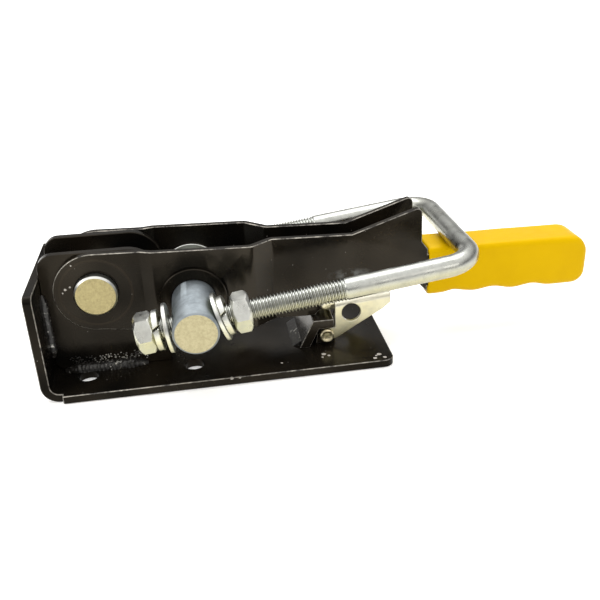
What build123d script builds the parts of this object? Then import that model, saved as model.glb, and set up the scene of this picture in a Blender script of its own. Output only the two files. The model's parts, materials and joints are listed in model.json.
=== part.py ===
from build123d import *
import os
from math import cos, radians, sin, sqrt, tan

# Over centre toggle latch, in millimetres.
# Origin: centre of the four mounting holes, on the underside of the base plate.
# +X runs from the folded end plate towards the grip, +Z stands up from the base.
# The latch is the same on both sides of the XZ plane. "near" is the -Y side.

# ---------------------------------------------------------------- base
base_t = 4.0                # plate of the base, its end plate and the pivot webs
base_length = 162.0
base_width = 73.0
base_corner_r = 5.0
end_height = 52.0
end_width = 68.5
end_corner_r = 3.5
fold_inner_r = 4.0
relief_x = 9.0              # where the full width of the base starts
hole_d = 9.0                # clearance hole for M8
hole_pitch_x = 48.5
hole_pitch_y = 40.0
hole_inset = 19.0           # end plate's outer face to the first pair of holes

# ---------------------------------------------------------------- pivot webs and pin
web_gap = 18.5              # between the two webs
web_t = 4.0
web_top_z = 62.2
web_reach = 57.2            # end plate's outer face to the webs' free edge
web_back_r = 7.0
web_front_r = 14.5
pivot_x_in = 28.0           # end plate's outer face to the pivot
pivot_z = 44.0
pivot_d = 19.0
pivot_proud = 4.0           # pin standing out past each handle plate
pin_edge = 0.8
bead_fullness = 0.62        # how far a weld face stands out, as a share of its leg
floor_bead = 4.0            # weld legs
wall_bead = 2.4
floor_bead_start = 8.0
floor_bead_length = 38.0
wall_bead_top = 44.0

# ---------------------------------------------------------------- handle plates
plate_t = 3.0
play = 0.08                 # radial play of pins in their holes
web_play = 0.25             # between a web and its handle plate
wide_in = 15.25             # centre plane to the inner face, round the trunnion
narrow_in = 7.0             # centre plane to the inner face, towards the grip
bend_r = 2.0
first_bend = (49.0, 54.0)   # start and end of each joggle, from the end plate
second_bend = (98.0, 108.0)
eye_r = 18.5
kink_x = 147.0
kink_z = 59.1
crest_x = 181.3
crest_z = 70.4
crest_corner_r = 2.5
shoulder_x = 184.8
shoulder_z = 48.4
neck_z = 52.4
neck_out = 0.4              # crest to the neck below it
heel_z = 25.5
heel_in = 3.4
heel_rise = 3.8
boss_r = 17.2
tang_x = 255.0
tang_low_z = 28.5
tang_high_z = 45.5
tang_corner_r = 4.0

# ---------------------------------------------------------------- trunnion and U-bolt
trunnion_x_in = 70.5
trunnion_z = 37.5
trunnion_d = 20.0
trunnion_half = 54.0
trunnion_edge = 1.0
trunnion_mid_d = 24.0
trunnion_mid_half = 13.0
collar_d = 30.6
collar_t = 1.8
thrust_d = 29.0
thrust_t = 1.5
thrust_play = 0.1

bolt_d = 10.0
leg_inset = 11.75           # trunnion's end face to each leg's centre line
bolt_angle = 7.5            # U-bolt above level when stowed
bolt_reach = 128.5          # trunnion to the centre of the crossbar
bolt_tail = 25.2
bolt_bend_r = 14.0
bolt_end_chamfer = 0.9
bolt_hole_d = 10.6
thread_play = 0.03

nut_flats = 16.0
nut_t = 8.0
nut_tail_s = 17.4           # trunnion's axis to the inner face of the tail nuts
nut_chamfer_angle = 30.0
nut_face_share = 0.95       # flat of a nut's face, as a share of its width
lock_washer_d = 18.0
lock_washer_bore = 10.9
lock_washer_t = 2.5
lock_washer_gap = 1.3
lock_washer_split = 150.0   # place of the gap round the leg
flat_washer_d = 22.0
flat_washer_bore = 11.0
flat_washer_t = 1.7
washer_play = 0.08
washer_lean = 11.0          # loose washers lean this much on the near crossbar side
tail_washer_gap = 0.9       # between the trunnion and the tail washers

# ---------------------------------------------------------------- grip
grip_x_in = 185.0
grip_end_x_in = 270.7
grip_half = 11.0
grip_top_start_z = 49.0
grip_top_end_z = 48.3
grip_nose_top_r = 10.0
grip_nose_low_r = 7.0
grip_edge_r = 2.8
grip_play = 0.05
wave_pitch = 21.2
wave_first_in = 188.6
wave_count = 4
wave_low_z = 23.3
wave_fall = 1.3
wave_height = 1.5
spacer_x_in = 158.0
spacer_length = 20.0
spacer_low_z = 35.0
spacer_high_z = 47.0

# ---------------------------------------------------------------- safety lever
lever_pin_x_in = 132.5
lever_pin_z = 9.6
lever_pin_d = 5.0
lever_head_d = 7.2
lever_head_t = 1.9
lever_head_edge = 0.6
lever_half = 15.0
lever_t = 2.0
lever_bend_r = 3.0
lever_eye_r = 3.4
lever_left = 4.5            # lever's sizes are measured from its pin
lever_right = 32.3
lever_top_left = 16.9
lever_top_right = 19.8
lever_tip_x = 5.2
lever_tip_z = -2.2
lever_heel_x = 28.6
lever_heel_z = 11.5
lever_chin_z = 14.6
lever_hole_d = 9.5
lever_hole_x = 12.5
lever_hole_z = 10.9
nose_x = 0.5
nose_z = 14.4
nose_r = 2.5
nose_half = 12.8
nose_edge = 0.7
nose_play = 0.2
catch_drop = 2.0            # nose's centre down to the tip of the handle's catch face
catch_angle = 40.0          # catch face from upright
lever_gap = 0.9             # between the lever's top and the handle plates

bracket_half = 16.0
bracket_t = 4.6
bracket_top_z = 18.1
bracket_left = 6.6          # measured from the lever pin
bracket_right = 3.6
bracket_lean = 63.0
bracket_lug_t = 3.4
lug_play = 0.3
lug_left = 5.0
lug_right = 4.6
bracket_bead = 3.0
rest_gap = 0.4              # handle plates above the bracket that they rest on

spring_wire_d = 0.8
spring_wire_facets = 8      # the thin wire is drawn with flats
spring_turns = 4.25
spring_pitch = 1.8
spring_play = 0.15
spring_leg_x = 9.5
spring_leg_z = 14.85
spring_foot_x = -7.8

# ---------------------------------------------------------------- places that follow
end_x = -(hole_inset + hole_pitch_x / 2)
pivot_x = end_x + pivot_x_in
trunnion_x = end_x + trunnion_x_in
web_in = web_gap / 2
web_out = web_in + web_t
pivot_in = web_out + web_play
bolt_leg_y = trunnion_half - leg_inset
lever_pin_x = end_x + lever_pin_x_in
draw_frame = Plane(
    origin=(trunnion_x, 0, trunnion_z),
    x_dir=(cos(radians(bolt_angle)), 0, sin(radians(bolt_angle))),
    z_dir=(-sin(radians(bolt_angle)), 0, cos(radians(bolt_angle))),
)

os.makedirs("parts", exist_ok=True)


def save(piece, name):
    """Label one finished piece and write its STEP file."""
    piece.label = name
    export_step(piece, f"parts/{name}.step")


def save_pair(piece, name):
    """Write a near piece and its mirror image on the far side."""
    save(piece, f"{name}_near")
    save(mirror(piece, about=Plane.XZ), f"{name}_far")


def near_plane(depth):
    """The XZ plane moved by depth towards the near side."""
    return Plane.XZ.offset(depth)


def corner(sketch, x, z):
    """The sketch vertex closest to a place in the drawing."""
    return sketch.vertices().sort_by_distance((x, z, 0))[0]


# ---------------------------------------------------------------- base plate
def build_base_plate():
    """Base and end plate, folded from one plate."""
    with BuildPart() as base:
        with BuildSketch(Plane.XZ) as section:
            with BuildLine():
                FilletPolyline(
                    (end_x + base_length, 0),
                    (end_x, 0),
                    (end_x, end_height),
                    radius=fold_inner_r + base_t,
                )
                Line((end_x, end_height), (end_x + base_t, end_height))
                FilletPolyline(
                    (end_x + base_t, end_height),
                    (end_x + base_t, base_t),
                    (end_x + base_length, base_t),
                    radius=fold_inner_r,
                )
                Line((end_x + base_length, base_t), (end_x + base_length, 0))
            make_face()
        extrude(amount=base_width / 2, both=True)
        side_strip = (base_width - end_width) / 2
        with BuildSketch(Plane.XY):
            for side in (-1, 1):
                with Locations((end_x + relief_x / 2, side * (base_width - side_strip) / 2)):
                    Rectangle(relief_x, side_strip)
        extrude(amount=end_height, mode=Mode.SUBTRACT)
        base_corners = base.edges().filter_by(Axis.Z).group_by(Axis.X)[-1]
        fillet(base_corners, radius=base_corner_r)
        end_corners = base.edges().filter_by(Axis.X).group_by(Axis.Z)[-1]
        fillet(end_corners, radius=end_corner_r)
        with Locations((0, 0, base_t)):
            with GridLocations(hole_pitch_x, hole_pitch_y, 2, 2):
                Hole(radius=hole_d / 2, depth=base_t)
    return base.part


# ---------------------------------------------------------------- pivot webs
def build_web():
    """One cheek that carries the pivot pin."""
    back = end_x + base_t
    front = end_x + web_reach
    with BuildPart() as web:
        with BuildSketch(near_plane(web_in)) as side:
            with BuildLine():
                Polyline(
                    (back + fold_inner_r, base_t),
                    (front, base_t),
                    (front, web_top_z),
                    (back, web_top_z),
                    (back, base_t + fold_inner_r),
                    close=True,
                )
            make_face()
            fillet(corner(side, back, web_top_z), radius=web_back_r)
            fillet(corner(side, front, web_top_z), radius=web_front_r)
            with Locations((pivot_x, pivot_z)):
                Circle(radius=pivot_d / 2, mode=Mode.SUBTRACT)
        extrude(amount=web_t)
    return web.part


def build_bead(plane, leg, length):
    """Fillet weld with a full, slightly rounded face between two plates at right angles."""
    bulge = bead_fullness * leg
    with BuildPart() as bead:
        with BuildSketch(plane):
            with BuildLine():
                Line((0, 0), (leg, 0))
                ThreePointArc((leg, 0), (bulge, bulge), (0, leg))
                Line((0, leg), (0, 0))
            make_face()
        extrude(amount=length)
    return bead.part


def build_pivot_pin():
    """Solid pivot pin, pressed into both webs."""
    half = pivot_in + plate_t + pivot_proud
    with BuildPart() as pin:
        with BuildSketch(Plane.XZ):
            with Locations((pivot_x, pivot_z)):
                Circle(radius=pivot_d / 2)
        extrude(amount=half, both=True)
        chamfer(pin.edges().filter_by(GeomType.CIRCLE), length=pin_edge)
    return pin.part


# ---------------------------------------------------------------- handle plates
def lever_top(x):
    """Height of the safety lever's top face at x."""
    rise = (lever_top_right - lever_top_left) / (lever_right - lever_left)
    return lever_pin_z + lever_top_left + rise * (x - lever_pin_x - lever_left)


def catch_face(z):
    """Place along X of the handle's sloping catch face at height z."""
    off = (nose_r + nose_play) / cos(radians(catch_angle))
    above_nose = z - lever_pin_z - nose_z
    return lever_pin_x + nose_x - off - above_nose * tan(radians(catch_angle))


def build_handle_plate():
    """Near handle plate: pressed from 3 mm plate, joggled out round the trunnion and in to the grip."""
    half_t = plate_t / 2
    flare_x = end_x + shoulder_x
    rest_z = bracket_top_z + rest_gap
    tip_z = lever_pin_z + nose_z - catch_drop
    over_nose_z = lever_pin_z + nose_z + nose_r + lever_gap
    over_lever = nose_x + nose_r + nose_play
    kink = (end_x + kink_x, kink_z)
    crest = (end_x + crest_x, crest_z)
    with BuildPart() as plate:
        with BuildSketch(Plane.XY):
            with BuildLine():
                FilletPolyline(
                    (pivot_x - 2 * eye_r, -pivot_in - half_t),
                    (end_x + first_bend[0], -pivot_in - half_t),
                    (end_x + first_bend[1], -wide_in - half_t),
                    (end_x + second_bend[0], -wide_in - half_t),
                    (end_x + second_bend[1], -narrow_in - half_t),
                    (end_x + tang_x + eye_r, -narrow_in - half_t),
                    radius=bend_r + half_t,
                )
                offset(amount=half_t, side=Side.BOTH)
            make_face()
        extrude(amount=crest_z + plate_t)
        with BuildSketch(Plane.XZ) as side:
            with BuildLine():
                Polyline(
                    (pivot_x, pivot_z + eye_r),
                    kink,
                    crest,
                    (crest[0] + neck_out, neck_z),
                    (flare_x, shoulder_z),
                    (flare_x, tang_high_z),
                    (end_x + tang_x, tang_high_z),
                    (end_x + tang_x, tang_low_z),
                    (flare_x, tang_low_z),
                    (flare_x, heel_z),
                    (flare_x - heel_in, heel_z + heel_rise),
                    (flare_x - heel_in - heel_rise, lever_top(flare_x) + lever_gap),
                    (lever_pin_x + over_lever, lever_top(lever_pin_x + over_lever) + lever_gap),
                    (catch_face(over_nose_z), over_nose_z),
                    (catch_face(tip_z), tip_z),
                    (catch_face(tip_z) - (tip_z - rest_z), rest_z),
                    (lever_pin_x - bracket_left - bracket_t, rest_z),
                    (trunnion_x, trunnion_z - boss_r),
                    (pivot_x, pivot_z - eye_r),
                    close=True,
                )
            make_face()
            for centre, radius in (
                ((pivot_x, pivot_z), eye_r),
                ((trunnion_x, trunnion_z), boss_r),
            ):
                with Locations(centre):
                    Circle(radius=radius)
            fillet(corner(side, *crest), radius=crest_corner_r)
            fillet(corner(side, end_x + tang_x, tang_high_z), radius=tang_corner_r)
            fillet(corner(side, end_x + tang_x, tang_low_z), radius=tang_corner_r)
            with Locations((pivot_x, pivot_z)):
                Circle(radius=pivot_d / 2 + play, mode=Mode.SUBTRACT)
            with Locations((trunnion_x, trunnion_z)):
                Circle(radius=trunnion_d / 2 + play, mode=Mode.SUBTRACT)
        extrude(amount=wide_in + 2 * plate_t, mode=Mode.INTERSECT)
    return plate.part


def build_ring(inner_y, thickness, outer_d, bore_d):
    """Plain ring round the trunnion, on the near side."""
    with BuildPart() as ring:
        with BuildSketch(near_plane(inner_y)):
            with Locations((trunnion_x, trunnion_z)):
                Circle(radius=outer_d / 2)
                Circle(radius=bore_d / 2, mode=Mode.SUBTRACT)
        extrude(amount=thickness)
    return ring.part


def build_spacer():
    """Bar welded between the two handle plates."""
    with BuildPart() as spacer:
        with BuildSketch(Plane.XZ):
            with Locations((end_x + spacer_x_in, (spacer_low_z + spacer_high_z) / 2)):
                Rectangle(spacer_length, spacer_high_z - spacer_low_z)
        extrude(amount=narrow_in, both=True)
    return spacer.part


# ---------------------------------------------------------------- trunnion and U-bolt
def leg_plane(side, s, lean=0.0):
    """Plane square to a U-bolt leg, at s along it from the trunnion's axis."""
    origin = draw_frame.from_local_coords((s, side * bolt_leg_y, 0))
    angle = radians(bolt_angle + lean)
    return Plane(origin=origin, x_dir=(0, 1, 0), z_dir=(cos(angle), 0, sin(angle)))


def build_trunnion():
    """Turned cross shaft with a wider middle and a cross hole for each leg."""
    with BuildPart() as shaft:
        with BuildSketch(Plane.XZ):
            with Locations((trunnion_x, trunnion_z)):
                Circle(radius=trunnion_d / 2)
        extrude(amount=trunnion_half, both=True)
        chamfer(shaft.edges().filter_by(GeomType.CIRCLE), length=trunnion_edge)
        with BuildSketch(Plane.XZ):
            with Locations((trunnion_x, trunnion_z)):
                Circle(radius=trunnion_mid_d / 2)
        extrude(amount=trunnion_mid_half, both=True)
        for side in (-1, 1):
            with BuildSketch(leg_plane(side, 0)):
                Circle(radius=bolt_hole_d / 2)
            extrude(amount=trunnion_d, both=True, mode=Mode.SUBTRACT)
    return shaft.part


def build_u_bolt():
    """Round bar bent to a U, with both ends cut off square and chamfered."""
    with BuildPart() as bar:
        with BuildLine(draw_frame) as path:
            FilletPolyline(
                (-bolt_tail, -bolt_leg_y),
                (bolt_reach, -bolt_leg_y),
                (bolt_reach, bolt_leg_y),
                (-bolt_tail, bolt_leg_y),
                radius=bolt_bend_r,
            )
        with BuildSketch(Plane(origin=path.line @ 0, z_dir=path.line % 0)):
            Circle(radius=bolt_d / 2)
        sweep(path=path.line)
        ends = bar.edges().filter_by(GeomType.CIRCLE)
        tails = ends.sort_by(lambda edge: draw_frame.to_local_coords(edge.center()).X)[:2]
        chamfer(tails, length=bolt_end_chamfer)
    return bar.part


def build_nut(side, inner_s, outwards):
    """Hexagon nut, corners turned down on both faces."""
    start = leg_plane(side, inner_s if outwards > 0 else inner_s - nut_t)
    corner_r = nut_flats / 2 / cos(radians(30))
    face_r = nut_face_share * nut_flats / 2
    drop = (corner_r - face_r) * tan(radians(nut_chamfer_angle))
    axis_plane = Plane(origin=start.origin, x_dir=start.x_dir, z_dir=start.y_dir)
    up = 1 if axis_plane.y_dir.dot(start.z_dir) > 0 else -1
    with BuildPart() as nut:
        with BuildSketch(start):
            RegularPolygon(radius=nut_flats / 2, side_count=6, major_radius=False)
            Circle(radius=bolt_d / 2 + thread_play, mode=Mode.SUBTRACT)
        extrude(amount=nut_t)
        with BuildSketch(axis_plane):
            with BuildLine():
                Polyline(
                    (0, 0),
                    (face_r, 0),
                    (corner_r, up * drop),
                    (corner_r, up * (nut_t - drop)),
                    (face_r, up * nut_t),
                    (0, up * nut_t),
                    close=True,
                )
            make_face()
        revolve(axis=Axis(start.origin, start.z_dir), mode=Mode.INTERSECT)
    return nut.part


def build_flat_washer(side, middle_s, lean):
    """Plain washer on a U-bolt leg."""
    with BuildPart() as washer:
        with BuildSketch(leg_plane(side, middle_s, lean).offset(-flat_washer_t / 2)):
            Circle(radius=flat_washer_d / 2)
            Circle(radius=flat_washer_bore / 2, mode=Mode.SUBTRACT)
        extrude(amount=flat_washer_t)
    return washer.part


def build_lock_washer(side, middle_s, lean):
    """Split spring washer: one turn of square wire with a slanting gap."""
    seat = leg_plane(side, middle_s, lean)
    start = seat.offset(-lock_washer_t / 2)
    with BuildPart() as washer:
        with BuildSketch(start):
            Circle(radius=lock_washer_d / 2)
            Circle(radius=lock_washer_bore / 2, mode=Mode.SUBTRACT)
        extrude(amount=lock_washer_t)
        cut = Plane(
            origin=seat.origin,
            x_dir=seat.z_dir,
            z_dir=seat.x_dir.rotate(Axis((0, 0, 0), seat.z_dir), lock_washer_split),
        )
        slant = lock_washer_gap
        reach = lock_washer_t
        with BuildSketch(cut):
            with BuildLine():
                Polyline(
                    (-reach, -slant - lock_washer_gap / 2),
                    (reach, slant - lock_washer_gap / 2),
                    (reach, slant + lock_washer_gap / 2),
                    (-reach, -slant + lock_washer_gap / 2),
                    close=True,
                )
            make_face()
        extrude(amount=lock_washer_d, mode=Mode.SUBTRACT)
    return washer.part


# ---------------------------------------------------------------- grip
def build_grip():
    """Dipped grip with finger waves below and a pocket for each handle plate."""
    left = end_x + grip_x_in
    right = end_x + grip_end_x_in
    wave_run = (wave_count - 1) * wave_pitch
    first_low = end_x + wave_first_in
    last_low = first_low + wave_run
    low_end_z = wave_low_z - wave_fall
    with BuildPart() as grip:
        with BuildSketch(Plane.XZ) as side:
            waves = []
            for index in range(2 * wave_count - 1):
                along = index * wave_pitch / 2
                ripple = wave_height * (index % 2)
                waves.append((first_low + along, wave_low_z + ripple - wave_fall * along / wave_run))
            with BuildLine():
                Line((left, grip_top_start_z), (right, grip_top_end_z))
                Line((right, grip_top_end_z), (right, low_end_z))
                Line((right, low_end_z), (last_low, low_end_z))
                Spline(*reversed(waves), tangents=((-1, 0), (-1, 0)))
                Line((first_low, wave_low_z), (left, wave_low_z))
                Line((left, wave_low_z), (left, grip_top_start_z))
            make_face()
            fillet(corner(side, right, grip_top_end_z), radius=grip_nose_top_r)
            fillet(corner(side, right, low_end_z), radius=grip_nose_low_r)
        extrude(amount=grip_half, both=True)
        for face in grip.faces().filter_by(Axis.Y):
            rim = face.edges().filter_by(lambda edge: edge.center().X > left + play)
            fillet(rim, radius=grip_edge_r)
        pocket_end = end_x + tang_x + grip_play
        for inner in (narrow_in, -narrow_in - plate_t):
            with BuildSketch(near_plane(inner - grip_play)) as pocket:
                with Locations(((left + pocket_end) / 2, (tang_low_z + tang_high_z) / 2)):
                    Rectangle(pocket_end - left, tang_high_z - tang_low_z + 2 * grip_play)
                far_side = pocket.vertices().group_by(Axis.X)[-1]
                fillet(far_side, radius=tang_corner_r)
            extrude(amount=plate_t + 2 * grip_play, mode=Mode.SUBTRACT)
    return grip.part


# ---------------------------------------------------------------- safety lever
def build_lever():
    """Safety lever: a folded channel with a finger hole in each cheek and a rolled nose."""
    x = lever_pin_x
    z = lever_pin_z
    top_left = (x + lever_left, z + lever_top_left)
    top_right = (x + lever_right, z + lever_top_right)
    neck_z_low = z + lever_eye_r
    with BuildPart() as lever:
        with BuildSketch(Plane.XZ) as side:
            with BuildLine():
                Polyline(
                    top_left,
                    top_right,
                    (x + lever_right, z + lever_chin_z),
                    (x + lever_heel_x, z + lever_heel_z),
                    (x + lever_tip_x, z + lever_tip_z),
                    (x, z - lever_eye_r),
                    (x, neck_z_low),
                    (x + lever_left, neck_z_low),
                    close=True,
                )
            make_face()
            with Locations((x, z)):
                Circle(radius=lever_eye_r)
        extrude(amount=lever_half, both=True)
        top_face = lever.faces().sort_by(Axis.Z)[-1]
        long_edges = top_face.edges().filter_by(lambda edge: abs(edge.tangent_at(0.5).Y) < 0.5)
        fillet(long_edges, radius=lever_bend_r)
        rise = (lever_top_right - lever_top_left) / (lever_right - lever_left)
        under = lever_t * sqrt(1 + rise**2)
        reach = lever_bend_r + lever_eye_r
        with BuildSketch(Plane.XZ):
            with BuildLine():
                Polyline(
                    (top_left[0] - reach, top_left[1] - under - rise * reach),
                    (top_right[0] + reach, top_right[1] - under + rise * reach),
                    (top_right[0] + reach, 0),
                    (top_left[0] - reach - lever_eye_r, 0),
                    close=True,
                )
            make_face()
        extrude(amount=lever_half - lever_t, both=True, mode=Mode.SUBTRACT)
        with BuildSketch(Plane.XZ):
            with Locations((x + lever_hole_x, z + lever_hole_z)):
                Circle(radius=lever_hole_d / 2)
            with Locations((x, z)):
                Circle(radius=lever_pin_d / 2 + play)
        extrude(amount=lever_half, both=True, mode=Mode.SUBTRACT)
    with BuildPart() as nose:
        with BuildSketch(Plane.XZ):
            with Locations((x + nose_x, z + nose_z)):
                Circle(radius=nose_r)
            with BuildLine():
                Polyline(
                    (x + nose_x, z + nose_z + nose_r),
                    (top_left[0] + lever_t, top_left[1]),
                    (top_left[0] + lever_t, top_left[1] - lever_t),
                    (x + nose_x, z + nose_z + nose_r - lever_t),
                    close=True,
                )
            make_face()
        extrude(amount=nose_half, both=True)
        ends = nose.edges().filter_by(GeomType.CIRCLE)
        chamfer(ends, length=nose_edge)
    return lever.part + nose.part


def build_lever_pin():
    """Headed pin through the lever's cheeks and the bracket's lugs."""
    half = lever_half + play
    with BuildPart() as pin:
        with BuildSketch(Plane.XZ):
            with Locations((lever_pin_x, lever_pin_z)):
                Circle(radius=lever_pin_d / 2)
        extrude(amount=half, both=True)
        for side in (-1, 1):
            with BuildSketch(near_plane(side * half)):
                with Locations((lever_pin_x, lever_pin_z)):
                    Circle(radius=lever_head_d / 2)
            extrude(amount=side * lever_head_t)
        rims = pin.edges().filter_by(GeomType.CIRCLE).group_by(Axis.Y)
        chamfer(rims[0] + rims[-1], length=lever_head_edge)
    return pin.part


def build_bracket():
    """Folded bracket: a leaning leg, a flat top that the handle rests on, and two pin lugs."""
    left = lever_pin_x - bracket_left
    right = lever_pin_x + bracket_right
    under_z = bracket_top_z - bracket_t
    slope = tan(radians(bracket_lean))
    thick_x = bracket_t / sin(radians(bracket_lean))
    foot_left = left - (bracket_top_z - base_t) / slope
    inner_corner = foot_left + thick_x + (under_z - base_t) / slope
    lug_out = lever_half - lever_t - lug_play
    with BuildPart() as bracket:
        with BuildSketch(Plane.XZ):
            with BuildLine():
                Polyline(
                    (foot_left, base_t),
                    (foot_left + thick_x, base_t),
                    (inner_corner, under_z),
                    (right, under_z),
                    (right, bracket_top_z),
                    (left, bracket_top_z),
                    close=True,
                )
            make_face()
        extrude(amount=bracket_half, both=True)
        for inner in (lug_out - bracket_lug_t, -lug_out):
            with BuildSketch(near_plane(inner)):
                with BuildLine():
                    Polyline(
                        (lever_pin_x - lug_left, base_t),
                        (lever_pin_x + lug_right, base_t),
                        (lever_pin_x + bracket_right, under_z),
                        (inner_corner, under_z),
                        close=True,
                    )
                make_face()
                with Locations((lever_pin_x, lever_pin_z)):
                    Circle(radius=lever_pin_d / 2, mode=Mode.SUBTRACT)
            extrude(amount=bracket_lug_t)
    return bracket.part


def build_lever_spring():
    """Torsion spring on the lever pin: one leg on the base, one under the lever's top."""
    wire_r = spring_wire_d / 2
    coil_r = lever_pin_d / 2 + spring_play + wire_r
    half = spring_turns * spring_pitch / 2
    start_point = (lever_pin_x, half, lever_pin_z)
    with BuildPart() as spring:
        with BuildLine() as coil:
            Helix(spring_pitch, 2 * half, coil_r, center=start_point, direction=(0, -1, 0))
        with BuildSketch(Plane(origin=coil.line @ 0, z_dir=coil.line % 0)):
            RegularPolygon(radius=wire_r, side_count=spring_wire_facets)
        sweep(path=coil.line, is_frenet=True)
        leg_ends = (
            (coil.line @ 0, (spring_foot_x, base_t + wire_r - lever_pin_z)),
            (coil.line @ 1, (spring_leg_x, spring_leg_z)),
        )
        for start, (out, up) in leg_ends:
            end = (lever_pin_x + out, start.Y, lever_pin_z + up)
            with BuildLine() as leg:
                Line(start, end)
            with BuildSketch(Plane(origin=start, z_dir=leg.line % 0)):
                RegularPolygon(radius=wire_r, side_count=spring_wire_facets)
            sweep(path=leg.line)
    return spring.part


def build_bracket_bead():
    """Fillet weld along the outside of the bracket's foot."""
    slope = radians(bracket_lean)
    foot = lever_pin_x - bracket_left - (bracket_top_z - base_t) / tan(slope)
    with BuildPart() as bead:
        with BuildSketch(Plane.XZ):
            with BuildLine():
                Polyline(
                    (foot - bracket_bead, base_t),
                    (foot, base_t),
                    (foot + bracket_bead * cos(slope), base_t + bracket_bead * sin(slope)),
                    close=True,
                )
            make_face()
        extrude(amount=bracket_half - bracket_bead, both=True)
    return bead.part


if __name__ == "__main__":
    save(build_base_plate(), "base_plate")
    save_pair(build_web(), "web")
    floor_corner = Plane(
        origin=(end_x + floor_bead_start + floor_bead_length, -web_out, base_t),
        x_dir=(0, -1, 0),
        z_dir=(-1, 0, 0),
    )
    wall_corner = Plane(
        origin=(end_x + base_t, -web_out, wall_bead_top), x_dir=(1, 0, 0), z_dir=(0, 0, -1)
    )
    wall_bead_length = wall_bead_top - 2 * base_t - floor_bead
    save_pair(build_bead(floor_corner, floor_bead, floor_bead_length), "weld_floor")
    save_pair(build_bead(wall_corner, wall_bead, wall_bead_length), "weld_wall")
    save(build_pivot_pin(), "pivot_pin")

    save_pair(build_handle_plate(), "handle_plate")
    collar_in = wide_in + plate_t
    save_pair(build_ring(collar_in, collar_t, collar_d, trunnion_d + 2 * play), "collar")
    save(build_spacer(), "handle_spacer")
    save(build_grip(), "grip")

    save(build_trunnion(), "trunnion")
    thrust_in = wide_in - thrust_play - thrust_t
    save_pair(build_ring(thrust_in, thrust_t, thrust_d, trunnion_d), "thrust_washer")
    save(build_u_bolt(), "u_bolt")
    tail_flat_s = -trunnion_d / 2 - tail_washer_gap - flat_washer_t / 2
    tail_lock_s = -nut_tail_s + lock_washer_t / 2 + washer_play
    loop_tilt = radians(washer_lean)
    loop_flat_s = (trunnion_d / 2 + flat_washer_t / 2 + 2 * washer_play) / cos(loop_tilt)
    washer_step = flat_washer_t / 2 + washer_play + lock_washer_t / 2
    loop_lock_s = loop_flat_s + washer_step / cos(loop_tilt)
    lean_reach = lock_washer_d / 2 * sin(loop_tilt) + lock_washer_t / 2 * cos(loop_tilt)
    loop_nut_s = loop_lock_s + lean_reach + washer_play
    for side, place in ((-1, "near"), (1, "far")):
        lean = washer_lean if side < 0 else 0
        save(build_nut(side, -nut_tail_s, -1), f"nut_{place}_tail")
        save(build_nut(side, loop_nut_s, 1), f"nut_{place}_loop")
        save(build_flat_washer(side, tail_flat_s, 0), f"flat_washer_{place}_tail")
        save(build_flat_washer(side, loop_flat_s, lean), f"flat_washer_{place}_loop")
        save(build_lock_washer(side, tail_lock_s, 0), f"lock_washer_{place}_tail")
        save(build_lock_washer(side, loop_lock_s, lean), f"lock_washer_{place}_loop")

    save(build_lever(), "lock_lever")
    save(build_lever_pin(), "lever_pin")
    save(build_bracket(), "lock_bracket")
    save(build_bracket_bead(), "weld_bracket")
    save(build_lever_spring(), "lever_spring")
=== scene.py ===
"""Over centre toggle latch: finishes, threads, nuts, welds, dipped grip, floor, light and camera."""

import json
import logging
import math
import random
from dataclasses import dataclass
from enum import Enum

import bmesh
import bpy
from mathutils import Matrix, Vector, noise


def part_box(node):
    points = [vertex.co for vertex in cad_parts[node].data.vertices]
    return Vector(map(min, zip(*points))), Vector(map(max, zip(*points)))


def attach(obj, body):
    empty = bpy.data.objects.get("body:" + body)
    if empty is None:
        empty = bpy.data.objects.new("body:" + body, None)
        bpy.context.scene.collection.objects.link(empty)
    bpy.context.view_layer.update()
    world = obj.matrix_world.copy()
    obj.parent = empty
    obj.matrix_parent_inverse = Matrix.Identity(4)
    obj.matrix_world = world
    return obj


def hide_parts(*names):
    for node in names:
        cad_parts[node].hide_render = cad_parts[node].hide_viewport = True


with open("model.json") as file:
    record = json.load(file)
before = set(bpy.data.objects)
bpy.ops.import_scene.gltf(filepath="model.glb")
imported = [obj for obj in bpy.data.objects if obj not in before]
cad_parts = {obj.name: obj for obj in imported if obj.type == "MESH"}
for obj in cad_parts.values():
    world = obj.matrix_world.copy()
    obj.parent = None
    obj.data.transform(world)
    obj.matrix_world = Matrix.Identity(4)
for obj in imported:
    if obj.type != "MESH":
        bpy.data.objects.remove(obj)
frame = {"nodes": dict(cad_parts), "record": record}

log = logging.getLogger("toggle_latch")
Place = tuple[float, float, float]
Colour = tuple[float, float, float]
Socket = bpy.types.NodeSocket
Feed = Socket | float | Colour

MM = 0.001
PIVOT: Place = (-15.25 * MM, 0.0, 44.0 * MM)
TRUNNION: Place = (27.25 * MM, 0.0, 37.5 * MM)
FROM_Y_AXIS: Place = (1.0, 0.0, 1.0)
MERGE_GAP = 0.002 * MM
SEAM_GAP = 0.01 * MM
FLAT_BEND = math.radians(0.6)
SHARP_BEND = math.radians(38.0)


class Slot(Enum):
    """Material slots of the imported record."""

    BLACK_PAINT = "black_paint"
    ZINC_PLATE = "zinc_plate"
    YELLOW_VINYL = "yellow_vinyl"
    SPRING_WIRE = "spring_wire"


class Side(Enum):
    """The two sides of the latch, by the sign of Y."""

    NEAR = -1
    FAR = 1

    @property
    def label(self) -> str:
        """The side's word in the names of nodes."""
        return self.name.lower()


class Stack(Enum):
    """The two stacks of fasteners on each leg of the U-bolt, behind and before the trunnion."""

    TAIL = "tail"
    LOOP = "loop"


# ------------------------------------------------------------------ surface patterns
@dataclass(frozen=True)
class Cloud:
    """Cloudy noise: features per metre, octaves, their fineness, and the levels that count as 0 and 1."""

    scale: float
    detail: float = 3.0
    grain: float = 0.55
    low: float = 0.0
    high: float = 1.0


@dataclass(frozen=True)
class Dots:
    """Scattered dots: cells per metre, dot radius in cells, and the share of cells that hold one."""

    scale: float
    radius: float
    share: float


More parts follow.
